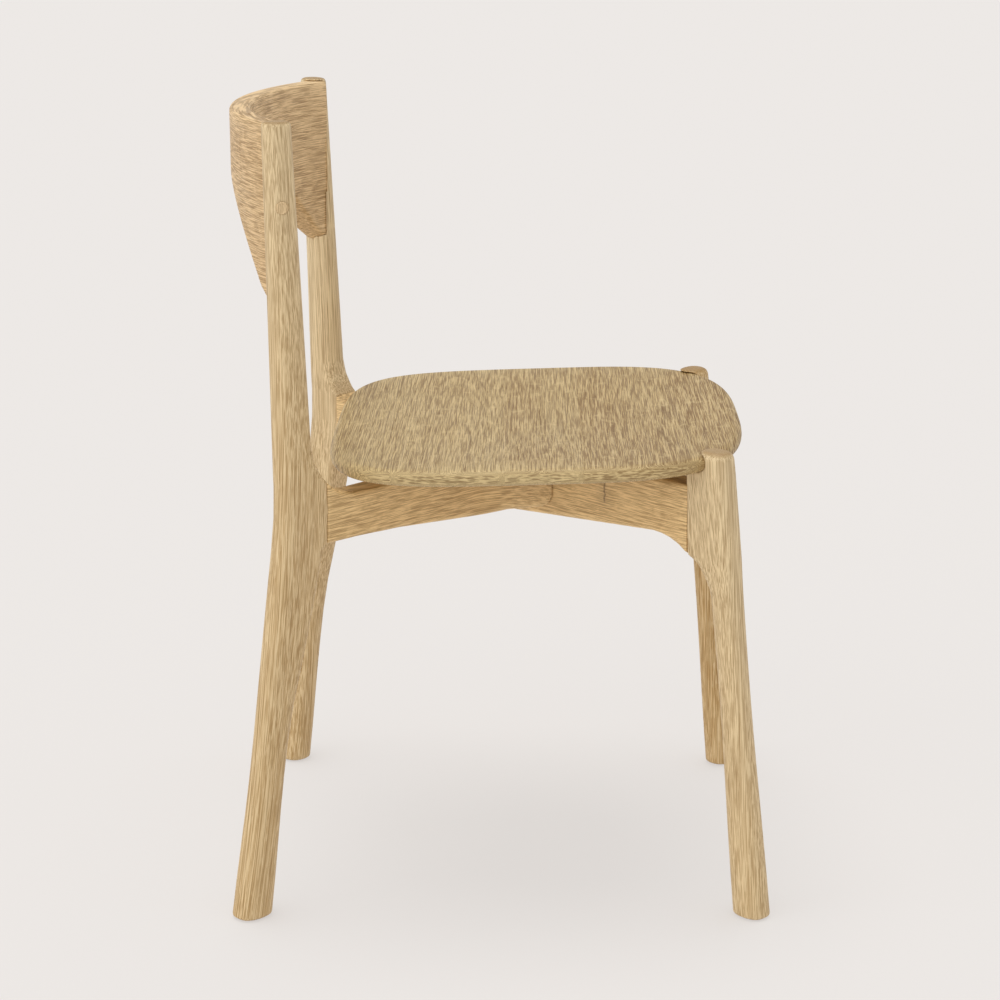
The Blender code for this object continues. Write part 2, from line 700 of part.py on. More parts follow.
def place_seat_screws(upper, lower, staves, steel):
    """Screws up through the beams into the seat, each in a counterbore and over a washer."""
    for side, flip in (("right", 1), ("left", -1)):
        for kind, offset in (("rear", -SEAT_SCREW_STATION), ("front", SEAT_SCREW_STATION)):
            station = CROSSING + offset
            beam = upper if (side == "right") == (kind == "rear") else lower
            place = beam_point(station)
            place.x = -abs(place.x) * flip
            holding = [stave for front, rear, stave in staves if front < place.y < rear]
            place_seat_screw(f"{kind}_{side}", place, station, beam, holding[0], steel)


def place_seat_screw(name, place, station, beam, stave, steel):
    up = Vector((0, 0, 1))
    top = beam_top(station)
    shoulder = top - SEAT_SCREW_GRIP
    stack = WASHER_THICKNESS + SCREW_HEAD_HEIGHT + 2 * GAP
    place.z = shoulder - stack
    length = stack + SEAT_SCREW_GRIP + SEAT_SCREW_BITE
    add_object(f"seat_screw_{name}", *bar(place, up, screw_steps(length)), steel)
    place.z = shoulder - GAP - WASHER_THICKNESS
    disc = bar(place, up, ((0, WASHER_RADIUS), (WASHER_THICKNESS, WASHER_RADIUS)))
    washer = add_object(f"seat_washer_{name}", *disc, steel)
    narrow, wide = SCREW_RADIUS + GAP, WASHER_RADIUS + GAP
    through = ((-OVERSHOOT, narrow), (OVERSHOOT, narrow))
    drill(washer, f"washer_hole_{name}", place, up, through)
    place.z = beam_bottom(station) - OVERSHOOT
    depth = shoulder - place.z
    bore = ((0, wide), (depth, wide), (depth, narrow), (top + OVERSHOOT - place.z, narrow))
    drill(beam, f"beam_hole_{name}", place, up, bore)
    place.z = top - OVERSHOOT
    pilot = ((0, narrow), (OVERSHOOT + SEAT_SCREW_BITE + 2 * GAP, narrow))
    drill(stave, f"seat_pilot_{name}", place, up, pilot)


def place_glides(legs, plastic):
    """A flat nail-in glide under each foot."""
    up = Vector((0, 0, 1))
    for kind, side in legs:
        centre = rear_centre(0) if kind == "rear" else front_centre(0)
        x = centre.x if side == "right" else -centre.x
        base = Vector((x, centre.y, 0))
        steps = (
            (0, GLIDE_RADIUS - CHAMFER),
            (CHAMFER, GLIDE_RADIUS),
            (GLIDE_THICKNESS - GAP, GLIDE_RADIUS),
            (GLIDE_THICKNESS - GAP, GLIDE_STEM_RADIUS),
            (GLIDE_STEM_LENGTH, GLIDE_STEM_RADIUS),
        )
        add_object(f"{kind}_glide_{side}", *bar(base, up, steps), plastic)
        wide = GLIDE_STEM_RADIUS + GAP
        hole = ((-OVERSHOOT, wide), (GLIDE_STEM_LENGTH + GAP, wide))
        drill(legs[kind, side], f"{kind}_glide_hole_{side}", base, up, hole)


def build():
    clear_scene()
    oak = material("oak", (0.62, 0.46, 0.27), 0.55)
    back_oak = material("back_oak", (0.55, 0.39, 0.22), 0.55)
    dowel_wood = material("beech_dowel", (0.66, 0.47, 0.30), 0.6)
    steel = material("zinc_steel", (0.62, 0.62, 0.60), 0.35, 1.0)
    plastic = material("glide_plastic", (0.30, 0.24, 0.18), 0.5)
    legs = place_legs(oak)
    upper, lower = place_beams(oak)
    staves = place_seat(oak)
    place_beam_dowels(legs, upper, lower, dowel_wood)
    place_back(legs, back_oak, oak, dowel_wood, steel)
    place_seat_screws(upper, lower, staves, steel)
    place_glides(legs, plastic)


build()
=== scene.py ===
"""The looks of the oak dining chair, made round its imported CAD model.

The large pieces are redrawn here as fine, smooth meshes that stand for the faceted CAD solids. Each of them carries
a "grain" attribute, the place of every point inside the log that the piece was sawn from, and one oak material
reads its growth rings, pores, fibres and rays from it. The sitter faces -Y, and the camera looks along +X. Lengths
are in metres, angles in degrees and colours in linear light unless a comment says otherwise.
"""
import math

import bmesh
import bpy
import numpy as np
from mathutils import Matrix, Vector
from mathutils.bvhtree import BVHTree


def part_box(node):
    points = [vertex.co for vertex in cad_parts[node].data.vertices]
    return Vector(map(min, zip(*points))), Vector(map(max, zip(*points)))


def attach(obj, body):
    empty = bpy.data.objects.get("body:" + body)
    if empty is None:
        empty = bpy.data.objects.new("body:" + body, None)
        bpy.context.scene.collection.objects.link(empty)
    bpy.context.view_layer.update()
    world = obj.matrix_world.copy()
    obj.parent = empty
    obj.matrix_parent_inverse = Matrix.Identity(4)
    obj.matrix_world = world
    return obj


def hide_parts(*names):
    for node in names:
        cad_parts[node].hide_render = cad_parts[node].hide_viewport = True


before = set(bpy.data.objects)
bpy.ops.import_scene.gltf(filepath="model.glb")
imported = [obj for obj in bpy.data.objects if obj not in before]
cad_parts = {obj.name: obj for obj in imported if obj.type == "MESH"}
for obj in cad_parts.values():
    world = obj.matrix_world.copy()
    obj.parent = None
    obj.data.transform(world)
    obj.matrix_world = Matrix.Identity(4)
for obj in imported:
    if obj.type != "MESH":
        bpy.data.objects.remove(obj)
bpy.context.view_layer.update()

# Oak: the lengths of its figure
RING_SPACING = 0.0036
WANDER_REACH = 0.020
FLUTTER_REACH = 0.0016

# Oak: each noise's waves in a metre, along the fibres and across and deep in the log, then its detail and roughness
WANDER_NOISE = ((1.6, 6.0, 6.0), 2.0, 0.5)
FLUTTER_NOISE = ((9.0, 60.0, 60.0), 2.0, 0.5)
STREAK_NOISE = ((6.0, 560.0, 560.0), 3.0, 0.6)
FIBRE_NOISE = ((20.0, 1250.0, 1250.0), 2.0, 0.6)
PORE_NOISE = ((40.0, 1200.0, 1200.0), 2.0, 0.5)
RAY_NOISE = ((60.0, 70.0, 500.0), 2.0, 0.5)
CLOUD_NOISE = ((2.6, 16.0, 16.0), 3.0, 0.55)

# The noise values between which most of any noise lies
NOISE_MIDDLE = (0.3, 0.7)

# Oak: the values between which each feature fades in
EARLY_RISE = (0.0, 0.12)
EARLY_FALL = (0.60, 0.20)
PORE_EDGE = (0.54, 0.64)
RAY_EDGE = (0.60, 0.70)
CLOUD_EDGE = (0.30, 0.72)
STREAK_EDGE = (0.40, 0.64)
BRIGHT_FIBRE_EDGE = (0.46, 0.58)
DARK_FIBRE_EDGE = (0.50, 0.40)
WEAR_EDGE = (0.515, 0.60)
END_EDGE = (0.35, 0.90)

# Oak: how strongly each feature colours or shapes the wood, at most
RING_SHARE = 0.45
STREAK_SHARE = 0.20
BRIGHT_FIBRE_SHARE = 0.58
DARK_FIBRE_SHARE = 0.42
RAY_SHARE = 0.28
LATE_PORES, MORE_EARLY_PORES = 0.4, 0.6
BRIGHTENING = 1.30
DARK_SHADE = (0.56, 0.50, 0.40)
END_SHADE = (0.60, 0.56, 0.50)
FIBRE_RELIEF, PORE_RELIEF = 0.35, 0.9
OAK_BUMP = (0.30, 0.0004)
OAK_ROUGHNESS = (0.44, 0.54)
PORE_ROUGHNESS = 0.15
OAK_SPECULAR = 0.42

# The oak of each piece: its palest and its deepest colour in display values, then how its figure differs
LEG_OAK = {
    "pale": (221, 200, 160), "deep": (188, 151, 94), "ring_contrast": 0.45, "pore_contrast": 0.4,
    "drift": 0.25, "run": 0.6, "crisp": 0.9,
}
# The beams' oak is drawn paler than the legs' oak, as painted light against the shade under the seat
BEAM_OAK = {
    "pale": (224, 193, 140), "deep": (206, 171, 118), "ring_contrast": 0.6, "pore_contrast": 0.5,
    "drift": 0.5, "run": 0.7, "crisp": 1.2, "end_share": 0.2,
}
SEAT_OAK = {
    "pale": (201, 179, 131), "deep": (151, 119, 69), "ring_contrast": 0.9, "pore_contrast": 0.4,
    "drift": 0.4, "run": 1.1, "wear": 0.0, "crisp": 1.05, "end_share": 0.0, "inward": 0.12,
}
BACK_OAK = {
    "pale": (222, 192, 146), "deep": (190, 155, 106), "ring_contrast": 0.6, "pore_contrast": 0.6,
    "drift": 0.7, "run": 0.8, "wear": 0.0, "crisp": 1.1, "end_share": 0.3, "inward": 0.2,
}
PLUG_OAK = {"pale": (218, 192, 150), "deep": (202, 170, 124), "ring_contrast": 0.3, "pore_contrast": 0.4}

# Knot: each mark's reach sideways and upward, from where it ends to where it is full, and its share of the colour
KNOT_COLOUR = (0.10, 0.055, 0.028, 1.0)
KNOT_ALONG = 0.405
KNOT_ACROSS = 0.085
KNOT_RAGGED_NOISE = ((0.0, 240.0, 0.0), 3.0, 0.5)
KNOT_DRIFT = 0.006
KNOT_LINE = ((0.0018, 0.0006), (0.014, 0.009), 0.62)
KNOT_HALO = ((0.016, 0.0), (0.024, 0.006), 0.18)
KNOT_PIN_WIDTH = (0.0034, 0.0014)
KNOT_PIN_EDGE = (0.56, 0.62)
KNOT_PIN_SHARE = 0.38

# Smoothing of the legs, beams and backrest
VOXEL = 0.0015
SMOOTH_ROUNDS = 14
SMOOTH_FACTOR = 0.5
SMOOTH_RETURN = 1.06
GUARD_NEAR = 0.0015
GUARD_FAR = 0.0070

# Legs: the pith beside and behind the middle, the tilt of the saw cut, a start along the log, foot and top tones
# Every leg's foot tone is deeper than its top tone: painted shade towards the floor and painted light towards the top,
# over tones that differ from leg to leg
LEGS = {
    "rear_leg_right": ((0.050, 0.030), 0.02, 10.0, 0.90, 0.30),
    "rear_leg_left": ((-0.060, 0.045), -0.03, 12.0, 0.90, -0.05),
    "front_leg_right": ((0.055, 0.060), 0.02, 14.0, 0.60, 0.15),
    "front_leg_left": ((0.040, -0.070), 0.03, 16.0, 1.15, 0.95),
}
LEG_LEVELS = 40
LEG_CURVE_DEGREE = 2
LEG_DEPTH_FOLLOW = 0.6

# Beams: the dowels at their ends, the pith above and beside the first one, the tilt and a start along the log
LOWER_BEAM_START = 20.0
UPPER_BEAM = (("rear_dowel_right_1", "front_dowel_left_1"), (0.05, 0.06), 0.03, 18.0)
LOWER_BEAM = (("rear_dowel_left_1", "front_dowel_right_1"), (0.07, 0.05), -0.03, LOWER_BEAM_START)
JOINT_PRESS = 0.0005
SIDE_SHARE = 0.15
BEAM_TONE = 0.5

# Backrest: its place in the log, and tones from the sitter's right to left, paler in a band along the top
BACK_START = 3.0
BACK_PITH = (0.012, 0.075)
BACK_TILT = 0.10
BACK_TONES = (0.95, 0.75, 0.85, 0.50)
BACK_TONE_PLACES = (-0.05, 0.08)
TOP_BAND = 0.030
TOP_BAND_SHARE = 0.6

# Plugs
PLUG_PRESS = 0.0009
PLUG_FACE = 0.0030
PLUG_START = 22.0
PLUG_PITH = (0.05, 0.4)
PLUG_TONE = 0.45

# Seat shape: the same board as the CAD staves, with a finer surface
SEAT_STAVES = 5
SEAT_SLOPE = 0.0318
SEAT_WIDEST = 0.1790
SEAT_DISH = 0.0100
SEAT_THICKNESS = 0.0315
RIM_THICKNESS = 0.0158
SEAT_LAND = 0.62
REAR_SQUARENESS = 4.3
FRONT_SQUARENESS = 3.1
OUTLINE_POINTS = 288
OUTLINE_OVERSAMPLING = 12
RIM_STEPS = 12
TOP_RINGS = 26
UNDER_RINGS = 12
SEAT_SHARP_ANGLE = 40

# Seat figure: on the rim, past RIM_FROM of facing sideways, it is drawn out along the rim and made finer
RIM_FROM = 0.62
RIM_BLEND = 0.22
RIM_DRAW = 0.92
RIM_FINE = 3.5
# Painted highlight: the seat's side edges are drawn paler, by up to this much tone, within this distance of the outline
PAINTED_EDGE_HIGHLIGHT = 0.50
PAINTED_HIGHLIGHT_WIDTH = 0.045

# How each stave lies in its log: across and deep from the pith, the tilt of the saw cut, a start along it, and a tone
STAVE_LOGS = (
    (0.060, 0.080, 0.010, 0.0, 0.66),
    (0.004, 0.050, 0.035, 1.7, 0.66),
    (0.075, 0.060, -0.012, 3.1, 0.72),
    (0.050, 0.090, 0.015, 4.6, 0.92),
    (-0.055, 0.060, -0.014, 6.2, 1.08),
)

# Small parts: colours in display values, noises as for the oak, each bump's strength and height, and roughnesses
BEECH_PALE, BEECH_DEEP, BEECH_FLECK = (206, 168, 128), (186, 146, 104), (140, 98, 62)
BEECH_FLECK_NOISE = ((900.0, 900.0, 500.0), 2.0, 0.5)
BEECH_FLECK_EDGE = (0.58, 0.68)
BEECH_FLECK_SHARE = 0.5
BEECH_TONE_NOISE = ((60.0, 60.0, 200.0), 3.0, 0.5)
BEECH_BUMP = (0.2, 0.0002)
BEECH_ROUGHNESS = (0.55, 0.70)
ZINC_PALE, ZINC_DEEP = (196, 197, 192), (164, 166, 160)
ZINC_MARK_NOISE = ((400.0, 400.0, 6000.0), 3.0, 0.5)
ZINC_PATCH_NOISE = ((180.0, 180.0, 180.0), 2.0, 0.5)
ZINC_BUMP = (0.15, 0.0001)
ZINC_ROUGHNESS = (0.28, 0.44)
PLASTIC_CLEAN, PLASTIC_SCUFFED = (104, 88, 68), (140, 124, 104)
PLASTIC_GRAIN_NOISE = ((2500.0, 2500.0, 2500.0), 2.0, 0.5)
PLASTIC_SCUFF_NOISE = ((300.0, 1500.0, 300.0), 3.0, 0.5)
PLASTIC_SCUFF_EDGE = (0.5, 0.75)
PLASTIC_BUMP = (0.2, 0.0001)
PLASTIC_ROUGHNESS = (0.45, 0.62)

# Camera
CAMERA_PLACE = (-2.5593, -0.0341, 1.0488)
CAMERA_PITCH = 14.92
CAMERA_YAW = 0.80
CAMERA_LENS = 92.16

# Light: each sun's strength, the angle that sets how soft its shadows are, and where it shines from
SKY_COLOUR = (1.0, 0.985, 0.97)
SKY_STRENGTH = 0.66
SUN_COLOUR = (1.0, 0.985, 0.96)
SUNS = {
    "key": (1.05, 40, (0.10, 0.06, 1.0)),
    "fill": (0.75, 80, (-0.85, 0.46, 0.26)),
    "side": (0.40, 50, (-0.25, 0.95, 0.25)),
}
FLOOR_TONE = (0.839, 0.811, 0.792)
FLOOR_GLOW = 0.64
STUDIO_LEVEL = 1.075
FLOOR_SIZE = 60.0

# The colour sockets of a Mix node, which share their names with its other types' sockets
MIX_FIRST, MIX_SECOND, MIX_RESULT = 6, 7, 2


# ---------------------------------------------------------------- node helpers

class Shader:
    """A material under construction, with a short way to add each kind of node."""

    def __init__(self, name):
        self.material = bpy.data.materials.new(name)
        self.material.use_nodes = True
        self.tree = self.material.node_tree
        self.surface = self.tree.nodes["Principled BSDF"]

    def add(self, kind):
        return self.tree.nodes.new(f"ShaderNode{kind}")

    def put(self, socket, value):
        """Links a socket to another node's output, or sets it to a number, a vector or a colour."""
        if isinstance(value, bpy.types.NodeSocket):
            self.tree.links.new(value, socket)
        else:
            socket.default_value = value

    def attribute(self, name, output):
        node = self.add("Attribute")
        node.attribute_name = name
        return node.outputs[output]

    def math(self, operation, first, second=0.0):
        node = self.add("Math")
        node.operation = operation
        self.put(node.inputs[0], first)
        self.put(node.inputs[1], second)
        return node.outputs[0]

    def times(self, first, second):
        return self.math("MULTIPLY", first, second)

    def plus(self, first, second):
        return self.math("ADD", first, second)

    def noise(self, place, scale, detail, roughness):
        """Noise from 0 to 1, whose waves in a metre are scale along each axis of place."""
        stretch = self.add("VectorMath")
        stretch.operation = "MULTIPLY"
        self.put(stretch.inputs[0], place)
        self.put(stretch.inputs[1], scale)
        node = self.add("TexNoise")
        self.put(node.inputs["Vector"], stretch.outputs[0])
        self.put(node.inputs["Scale"], 1.0)
        self.put(node.inputs["Detail"], detail)
        self.put(node.inputs["Roughness"], roughness)
        return node.outputs["Fac"]

    def ramp(self, value, edge, result=(0.0, 1.0)):
        """A smooth step from the first result to the second, as value passes from the first edge to the second."""
        node = self.add("MapRange")
        node.interpolation_type = "SMOOTHSTEP"
        for name, number in zip(("From Min", "From Max", "To Min", "To Max"), (*edge, *result)):
            self.put(node.inputs[name], number)
        self.put(node.inputs["Value"], value)
        return node.outputs["Result"]

    def mix(self, share, first, second):
        node = self.add("Mix")
        node.data_type = "RGBA"
        self.put(node.inputs[0], share)
        self.put(node.inputs[MIX_FIRST], first)
        self.put(node.inputs[MIX_SECOND], second)
        return node.outputs[MIX_RESULT]

    def bump(self, height, strength, distance):
        node = self.add("Bump")
        self.put(node.inputs["Height"], height)
        self.put(node.inputs["Strength"], strength)
        self.put(node.inputs["Distance"], distance)
        self.put(self.surface.inputs["Normal"], node.outputs["Normal"])

    def finish(self, colour, roughness, metallic=0.0, specular=0.35):
        self.put(self.surface.inputs["Base Color"], colour)
        self.put(self.surface.inputs["Roughness"], roughness)
        self.put(self.surface.inputs["Metallic"], metallic)
        self.put(self.surface.inputs["Specular IOR Level"], specular)
        return self.material


def linear(red, green, blue):
    """A colour given as 0 to 255 display values, as linear light."""
    def channel(value):
        value /= 255
        return value / 12.92 if value <= 0.04045 else ((value + 0.055) / 1.055) ** 2.4
    return (channel(red), channel(green), channel(blue), 1.0)


def shaded(colour, shades):
    """A darker colour: each channel times its own shade."""
    return tuple(channel * shade for channel, shade in zip(colour, shades)) + (1.0,)


# ---------------------------------------------------------------- materials

def oak(name, pale, deep, ring_contrast, pore_contrast, drift=0.6, run=1.0, wear=0.22, crisp=1.0,
        end_share=0.70, inward=1.0, knot=None):
    """Oiled oak, whose grain attribute runs along the fibres in x and outward from the pith in y and z.

    drift is how far the colour wanders, wear how pale the edges are, crisp how clear the fibres are and end_share
    how dark the end grain is. run and inward stretch the fine figure where they are small, along the fibres and
    deep in the log. knot is where a knot lies, along and across.
    """
    wood = Shader(name)
    pale, deep = linear(*pale), linear(*deep)
    dark = shaded(deep, DARK_SHADE)
    bright = tuple(min(channel * BRIGHTENING, 1.0) for channel in pale[:3]) + (1.0,)
    place = wood.attribute("grain", "Vector")
    split = wood.add("SeparateXYZ")
    wood.put(split.inputs[0], place)

    def fine(scale, detail, roughness):
        return wood.noise(place, (scale[0] * run, scale[1], scale[2] * inward), detail, roughness)

    # Rings, fibres, pores and rays
    early = early_wood(wood, place, split)
    streak = fine(*STREAK_NOISE)
    fibre = fine(*FIBRE_NOISE)
    richness = wood.plus(wood.times(early, MORE_EARLY_PORES), LATE_PORES)
    pore = wood.times(wood.ramp(fine(*PORE_NOISE), PORE_EDGE), richness)
    rays = wood.ramp(wood.noise(place, *RAY_NOISE), RAY_EDGE)
    cloud = wood.noise(place, *CLOUD_NOISE)
    # Colour
    depth = wood.plus(wood.ramp(cloud, CLOUD_EDGE, (-drift / 2, drift / 2)), wood.attribute("tone", "Fac"))
    colour = wood.mix(depth, pale, deep)
    colour = wood.mix(wood.times(early, ring_contrast * RING_SHARE), colour, dark)
    colour = wood.mix(wood.ramp(streak, STREAK_EDGE, (0.0, STREAK_SHARE)), colour, dark)
    colour = wood.mix(wood.ramp(fibre, BRIGHT_FIBRE_EDGE, (0.0, BRIGHT_FIBRE_SHARE * crisp)), colour, bright)
    colour = wood.mix(wood.ramp(fibre, DARK_FIBRE_EDGE, (0.0, DARK_FIBRE_SHARE * crisp)), colour, dark)
    colour = wood.mix(wood.times(rays, RAY_SHARE), colour, bright)
    colour = wood.mix(wood.times(pore, pore_contrast), colour, dark)
    edges = wood.add("NewGeometry").outputs["Pointiness"]
    colour = wood.mix(wood.ramp(edges, WEAR_EDGE, (0.0, wear)), colour, bright)
    end = wood.ramp(wood.attribute("end", "Fac"), END_EDGE, (0.0, end_share))
    colour = wood.mix(end, colour, shaded(deep, END_SHADE))
    if knot:
        colour = wood.mix(knot_mark(wood, place, split, knot), colour, KNOT_COLOUR)
    # Surface
    height = wood.math("SUBTRACT", wood.times(fibre, FIBRE_RELIEF), wood.times(pore, PORE_RELIEF))
    wood.bump(height, *OAK_BUMP)
    rough = wood.plus(wood.ramp(streak, NOISE_MIDDLE, OAK_ROUGHNESS), wood.times(pore, PORE_ROUGHNESS))
    return wood.finish(colour, rough, specular=OAK_SPECULAR)


def early_wood(wood, place, split):
    """The open, early wood of each growth ring. The rings wander gently along the log."""
    across, deep = (wood.math("POWER", split.outputs[axis], 2.0) for axis in "YZ")
    from_pith = wood.math("SQRT", wood.plus(across, deep))
    from_pith = wood.plus(from_pith, wood.times(wood.noise(place, *WANDER_NOISE), WANDER_REACH))
    from_pith = wood.plus(from_pith, wood.times(wood.noise(place, *FLUTTER_NOISE), FLUTTER_REACH))
    year = wood.math("FRACT", wood.times(from_pith, 1 / RING_SPACING))
    return wood.times(wood.ramp(year, EARLY_RISE), wood.ramp(year, EARLY_FALL))


def knot_mark(wood, place, split, knot):
    """A short check across the fibres, with darker pins in it and a faint halo round it."""
    along, across = knot
    ragged = wood.noise(place, *KNOT_RAGGED_NOISE)
    drift = wood.times(wood.math("SUBTRACT", ragged, 0.5), KNOT_DRIFT)
    sideways = wood.math("ABSOLUTE", wood.math("SUBTRACT", wood.plus(split.outputs["X"], drift), along))
    upward = wood.math("ABSOLUTE", wood.math("SUBTRACT", split.outputs["Y"], across))
    line, halo = (wood.times(wood.ramp(sideways, wide), wood.ramp(upward, high))
                  for wide, high, share in (KNOT_LINE, KNOT_HALO))
    pins = wood.times(wood.ramp(sideways, KNOT_PIN_WIDTH), wood.ramp(ragged, KNOT_PIN_EDGE))
    pins = wood.times(wood.times(pins, line), KNOT_PIN_SHARE)
    return wood.math("MAXIMUM", wood.plus(wood.times(line, KNOT_LINE[2]), pins), wood.times(halo, KNOT_HALO[2]))


def object_place(shader):
    return shader.add("TexCoord").outputs["Object"]


def beech(name):
    """Bare beech dowel, with small dark flecks."""
    wood = Shader(name)
    place = object_place(wood)
    fleck = wood.ramp(wood.noise(place, *BEECH_FLECK_NOISE), BEECH_FLECK_EDGE)
    tone = wood.noise(place, *BEECH_TONE_NOISE)
    colour = wood.mix(tone, linear(*BEECH_PALE), linear(*BEECH_DEEP))
    colour = wood.mix(wood.times(fleck, BEECH_FLECK_SHARE), colour, linear(*BEECH_FLECK))
    wood.bump(fleck, *BEECH_BUMP)
    return wood.finish(colour, wood.ramp(tone, NOISE_MIDDLE, BEECH_ROUGHNESS))


def zinc(name):
    """Zinc-plated steel with fine turning marks."""
    steel = Shader(name)
    place = object_place(steel)
    marks = steel.noise(place, *ZINC_MARK_NOISE)
    patch = steel.noise(place, *ZINC_PATCH_NOISE)
    colour = steel.mix(patch, linear(*ZINC_PALE), linear(*ZINC_DEEP))
    steel.bump(marks, *ZINC_BUMP)
    return steel.finish(colour, steel.ramp(marks, NOISE_MIDDLE, ZINC_ROUGHNESS), metallic=1.0, specular=0.5)


def plastic(name):
    """Moulded plastic of the glides, scuffed by the floor."""
    moulded = Shader(name)
    place = object_place(moulded)
    grain = moulded.noise(place, *PLASTIC_GRAIN_NOISE)
    scuff = moulded.noise(place, *PLASTIC_SCUFF_NOISE)
    colour = moulded.mix(moulded.ramp(scuff, PLASTIC_SCUFF_EDGE), linear(*PLASTIC_CLEAN), linear(*PLASTIC_SCUFFED))
    moulded.bump(grain, *PLASTIC_BUMP)
    return moulded.finish(colour, moulded.ramp(scuff, NOISE_MIDDLE, PLASTIC_ROUGHNESS))


# ---------------------------------------------------------------- mesh helpers

X_AXIS = np.array((1.0, 0.0, 0.0))
Z_AXIS = np.array((0.0, 0.0, 1.0))


def add_piece(name, mesh, material, slot_name, *nodes):
    """Makes a mesh a piece of the chair that stands for these CAD nodes."""
    mesh.materials.clear()
    mesh.materials.append(material)
    piece = bpy.data.objects.new(name, mesh)
    bpy.context.scene.collection.objects.link(piece)
    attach(piece, "root")
    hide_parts(*nodes)


def points_of(mesh):
    flat = np.empty(len(mesh.vertices) * 3, np.float32)
    mesh.vertices.foreach_get("co", flat)
    return flat.reshape(-1, 3).astype(float)


def move_points(mesh, points):
    mesh.vertices.foreach_set("co", points.astype(np.float32).ravel())


def set_grain(mesh, along, across, depth):
    """Stores where each point lies in its log, in metres: along the fibres, and across and deep from the pith."""
    attribute = mesh.attributes.new("grain", "FLOAT_VECTOR", "POINT")
    values = np.stack([along, across, depth], axis=1).astype(np.float32)
    attribute.data.foreach_set("vector", values.ravel())


def set_numbers(mesh, name, numbers):
    mesh.attributes.new(name, "FLOAT", "POINT").data.foreach_set("value", numbers.astype(np.float32))


def set_tone(mesh, tones):
    """Stores how deep the colour is at each point, from 0 for the palest to 1 for the deepest, painted highlight and
    shade included.
    """
    set_numbers(mesh, "tone", tones)


def set_end(mesh, fibres):
    """Stores how squarely the surface cuts across the fibres, from 0 on a side to 1 on end grain."""
    flat = np.empty(len(mesh.vertices) * 3, np.float32)
    mesh.vertex_normals.foreach_get("vector", flat)
    facing = np.abs((flat.reshape(-1, 3) * fibres).sum(axis=1))
    set_numbers(mesh, "end", facing)
    return facing


def eased(share):
    """A share held between 0 and 1, with a smooth start and end."""
    share = np.clip(share, 0.0, 1.0)
    return share * share * (3 - 2 * share)


def neighbours_tree(node):
    """A search tree of every other CAD node's surface."""
    joined = bmesh.new()
    for name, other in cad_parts.items():
        if name != node:
            joined.from_mesh(other.data)
    tree = BVHTree.FromBMesh(joined)
    joined.free()
    return tree


def remeshed(node):
    """A fine copy of a CAD node's mesh, made of even quads."""
    copy = bpy.data.objects.new("refining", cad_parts[node].data.copy())
    bpy.context.scene.collection.objects.link(copy)
    remesh = copy.modifiers.new("fine", "REMESH")
    remesh.mode = "VOXEL"
    remesh.voxel_size = VOXEL
    graph = bpy.context.evaluated_depsgraph_get()
    mesh = bpy.data.meshes.new_from_object(copy.evaluated_get(graph))
    bpy.data.objects.remove(copy)
    return mesh


def refined(node):
    """A fine, smooth copy of a CAD node that stays crisp where it meets its neighbours."""
    mesh = remeshed(node)
    tree = neighbours_tree(node)
    distances = (tree.find_nearest(vertex.co, GUARD_FAR)[3] for vertex in mesh.vertices)
    distances = np.array([GUARD_FAR if distance is None else distance for distance in distances])
    smooth(mesh, np.clip((distances - GUARD_NEAR) / (GUARD_FAR - GUARD_NEAR), 0.0, 1.0))
    mesh.shade_smooth()
    return mesh


def smooth(mesh, weights):
    """Moves each point towards the middle of its neighbours by its weight, then back out, so that it doesn't shrink."""
    edges = np.empty(len(mesh.edges) * 2, np.int32)
    mesh.edges.foreach_get("vertices", edges)
    edges = edges.reshape(-1, 2)
    points = points_of(mesh)
    count = np.bincount(edges.ravel(), minlength=len(points))[:, None]
    for step in range(2 * SMOOTH_ROUNDS):
        factor = SMOOTH_FACTOR if step % 2 == 0 else -SMOOTH_FACTOR * SMOOTH_RETURN
        total = np.zeros_like(points)
        for axis in range(3):
            total[:, axis] += np.bincount(edges[:, 0], points[edges[:, 1], axis], len(points))
            total[:, axis] += np.bincount(edges[:, 1], points[edges[:, 0], axis], len(points))
        points += (total / count - points) * factor * weights[:, None]
    move_points(mesh, points)
    mesh.update()


# ---------------------------------------------------------------- legs, beams and backrest

def centre_line(points):
    """A leg's middle as smooth curves x(z) and y(z), which pass by its local bulges."""
    low, high = points[:, 2].min(), points[:, 2].max()
    heights = np.linspace(low, high, LEG_LEVELS)
    level = ((points[:, 2] - low) / (high - low) * (LEG_LEVELS - 1)).round().astype(int)
    slices = [points[level == k, :2] for k in range(LEG_LEVELS)]
    middle = np.array([(found.min(0) + found.max(0)) / 2 for found in slices])
    return [np.poly1d(np.polyfit(heights, middle[:, axis], LEG_CURVE_DEGREE)) for axis in (0, 1)]


def leg(node, material, pith, tilt, start, foot_tone, top_tone):
    """A leg whose fibres follow it from foot to top, and whose colour changes between them."""
    mesh = refined(node)
    points = points_of(mesh)
    middle_x, middle_y = centre_line(points)
    across = points[:, 0] - middle_x(points[:, 2]) + pith[0]
    depth = points[:, 1] - middle_y(points[:, 2]) * LEG_DEPTH_FOLLOW + pith[1] + tilt * points[:, 2]
    set_grain(mesh, points[:, 2] + start, across, depth)
    set_end(mesh, Z_AXIS)
    # Painted shade and light: the colour deepens towards the foot and pales towards the top
    share = points[:, 2] / points[:, 2].max()
    set_tone(mesh, foot_tone + (top_tone - foot_tone) * share)
    add_piece(f"{node}_wood", mesh, material, "oak", node)


